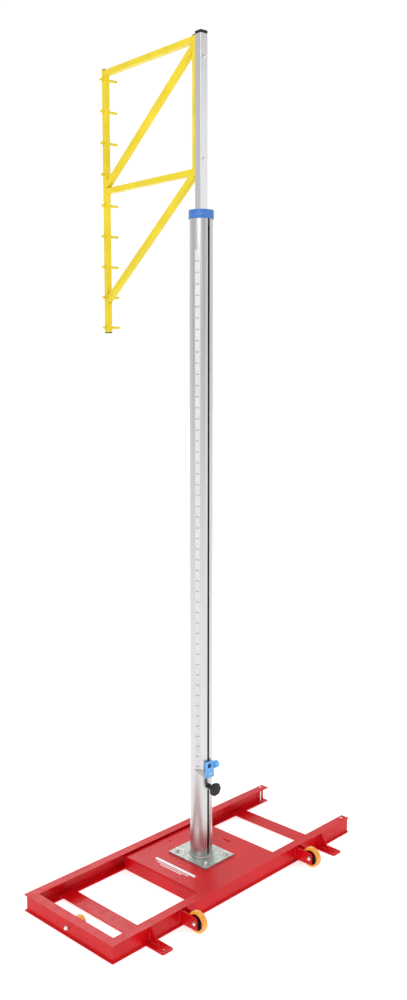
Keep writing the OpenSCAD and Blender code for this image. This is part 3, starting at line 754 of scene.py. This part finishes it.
def collar_screws():
    """Four socket screws round the collar."""
    low, high = head_box("column_collar")
    radius = high.x - 0.6 * MM
    middle = (low.z + high.z) / 2
    bm = bmesh.new()
    for degrees in COLLAR_SCREW_DEGREES:
        angle = math.radians(degrees)
        way = Vector((math.cos(angle), math.sin(angle), 0))
        place = facing(way * radius + Vector((0, 0, middle)), way, HEAD)
        turned(bm, [(1.9 * MM, -2 * MM), (2.2 * MM, 0.5 * MM), (3.6 * MM, 0.55 * MM), (4 * MM, 0.2 * MM),
                    (4 * MM, -2.5 * MM)], place, 30)
    piece("collar_screws", bm, "base", ZINC)


# ---------- scale ----------

SCALE_FIRST = 385
SCALE_STEP = 5
SCALE_MARKS = 48
SCALE_LOW = 535.5 * MM
MARK_PITCH = 50 * MM
INK_LIFT = 0.12 * MM
MAJOR_TICK = (9 * MM, 1.1 * MM)
MINOR_TICK = (4 * MM, 0.6 * MM)
TAPE_MARGIN = 0.5 * MM
DIGIT_SIZE = 9.5 * MM
DIGIT_OFFSET = 3 * MM


def wrap_on_tape(u, z, radius, centre):
    """A point u along the tape's width and z up, bent round the column."""
    angle = centre + u / radius
    return Vector((radius * math.cos(angle), radius * math.sin(angle), z))


def scale_marks():
    """Ticks and numbers of the height scale, in centimetres, printed on the tape."""
    points = [vertex.co for vertex in NODES["scale_tape"].data.vertices]
    radius = max(p.xy.length for p in points) + INK_LIFT
    angles = [math.atan2(p.y, p.x) for p in points]
    centre = (min(angles) + max(angles)) / 2
    half = (max(angles) - min(angles)) / 2 * radius
    bm = bmesh.new()

    def patch(corners):
        bm.faces.new([bm.verts.new(wrap_on_tape(u, z, radius, centre)) for u, z in corners])

    def tick(z, length, thickness):
        pieces = 4
        for i in range(pieces):
            start = half - TAPE_MARGIN - length * i / pieces
            end = half - TAPE_MARGIN - length * (i + 1) / pieces
            patch([(start, z - thickness / 2), (start, z + thickness / 2),
                   (end, z + thickness / 2), (end, z - thickness / 2)])

    minor = MARK_PITCH / SCALE_STEP
    low, high = (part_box("scale_tape")[i].z for i in (0, 1))
    count = int((high - low) / minor)
    for i in range(-2, count):
        z = SCALE_LOW + i * minor
        if low + 2 * MM < z < SCALE_LOW + (SCALE_MARKS - 1) * MARK_PITCH + 1 * MM:
            tick(z, *(MINOR_TICK if i % SCALE_STEP else MAJOR_TICK))
    for i in range(SCALE_MARKS):
        number(bm, str(SCALE_FIRST + i * SCALE_STEP), SCALE_LOW + i * MARK_PITCH, radius, centre)
    piece("scale_marks", bm, "base", INK_AND_SHADE, smooth=False)


def number(bm, text, z, radius, centre):
    """One number of the scale, as bent faces."""
    curve = bpy.data.curves.new("number", "FONT")
    curve.body = text
    curve.size = DIGIT_SIZE
    curve.align_x = "CENTER"
    curve.align_y = "CENTER"
    curve.resolution_u = 2
    holder = bpy.data.objects.new("number", curve)
    bpy.context.scene.collection.objects.link(holder)
    flat = holder.to_mesh()
    start = len(bm.verts)
    bm.from_mesh(flat)
    bm.verts.ensure_lookup_table()
    for vertex in bm.verts[start:]:
        vertex.co = wrap_on_tape(vertex.co.x - DIGIT_OFFSET, z + vertex.co.y, radius, centre)
    holder.to_mesh_clear()
    bpy.data.objects.remove(holder)
    bpy.data.curves.remove(curve)


# ---------- stage ----------

VIEW_YAW = math.radians(43.86)
VIEW_PITCH = math.radians(7.99)
CAMERA_PLACE = (-3.375, -3.242, 2.4646)
LENS_MM = 36.75
LENS_SHIFT = 0.0025
FLOOR_HALF = 30
# Each light's name, place, target, size and power in watts
LIGHTS = (
    ("key", (-5.0, -2.0, 5.5), (0, 0, 1.4), (3.0, 4.0), 150),
    ("fill", (2.5, -6.0, 3.0), (0, 0, 1.2), (3.0, 5.0), 50),
    ("rim", (3.0, 4.5, 5.0), (0, 0, 1.6), (2.0, 4.0), 60),
)


def make_floor():
    """Pale floor, lit a little from itself so that it meets the white behind it."""
    bm = bmesh.new()
    bmesh.ops.create_grid(bm, x_segments=2, y_segments=2, size=FLOOR_HALF)
    mesh = bpy.data.meshes.new("floor")
    bm.to_mesh(mesh)
    bm.free()
    floor = bpy.data.objects.new("floor", mesh)
    bpy.context.scene.collection.objects.link(floor)
    shader = Shader("pale_floor", Roughness=0.7, Specular_IOR_Level=0.1, Emission_Strength=0.46)
    shader.bsdf.inputs["Emission Color"].default_value = (1.0, 1.0, 1.0, 1.0)
    shader.set("Base Color", shader.ramp(shader.noise(0.8), (0.3, (0.90, 0.90, 0.90)),
                                         (0.7, (0.93, 0.93, 0.93))))
    mesh.materials.append(shader.material)


def make_world():
    """White behind the object, falling to grey behind the camera so that metal has form."""
    world = bpy.data.worlds.new("studio")
    bpy.context.scene.world = world
    world.use_nodes = True
    nodes, links = world.node_tree.nodes, world.node_tree.links
    coords = nodes.new("ShaderNodeTexCoord")
    toward = nodes.new("ShaderNodeVectorMath")
    toward.operation = "DOT_PRODUCT"
    toward.inputs[1].default_value = (math.cos(VIEW_YAW), math.sin(VIEW_YAW), 0.0)
    fade = nodes.new("ShaderNodeMapRange")
    for label, value in (("From Min", -0.2), ("From Max", 0.6), ("To Min", 0.60), ("To Max", 1.03)):
        fade.inputs[label].default_value = value
    links.new(coords.outputs["Generated"], toward.inputs[0])
    links.new(toward.outputs["Value"], fade.inputs["Value"])
    background = nodes["Background"]
    background.inputs["Color"].default_value = (1.0, 1.0, 1.0, 1.0)
    links.new(fade.outputs["Result"], background.inputs["Strength"])


def soft_light(name, place, target, size, power):
    data = bpy.data.lights.new(name, "AREA")
    data.shape = "RECTANGLE"
    data.size, data.size_y = size
    data.energy = power
    lamp = bpy.data.objects.new(name, data)
    lamp.location = place
    lamp.rotation_euler = (Vector(target) - Vector(place)).to_track_quat("-Z", "Y").to_euler()
    bpy.context.scene.collection.objects.link(lamp)


def make_camera():
    """Place, aim and lens from the photograph's perspective, and a small sideways shift."""
    data = bpy.data.cameras.new("camera")
    data.sensor_width = 36.0
    data.lens = LENS_MM
    data.shift_x = LENS_SHIFT
    camera = bpy.data.objects.new("camera", data)
    camera.location = CAMERA_PLACE
    ahead = Vector((math.cos(VIEW_YAW) * math.cos(VIEW_PITCH), math.sin(VIEW_YAW) * math.cos(VIEW_PITCH),
                    -math.sin(VIEW_PITCH)))
    camera.rotation_euler = ahead.to_track_quat("-Z", "Y").to_euler()
    bpy.context.scene.collection.objects.link(camera)
    bpy.context.scene.camera = camera


def build():
    dress_cad_nodes()
    soften_edges()
    fasteners()
    for side in ("left", "right"):
        wheel(side)
    end_roller()
    frame_welds()
    column_weld()
    arm_welds()
    clamp_knob()
    carriage_details()
    collar_screws()
    deck_decal()
    scale_marks()


make_camera()
make_world()
make_floor()
for light in LIGHTS:
    soft_light(*light)
bpy.context.scene.view_settings.view_transform = "Standard"
build()
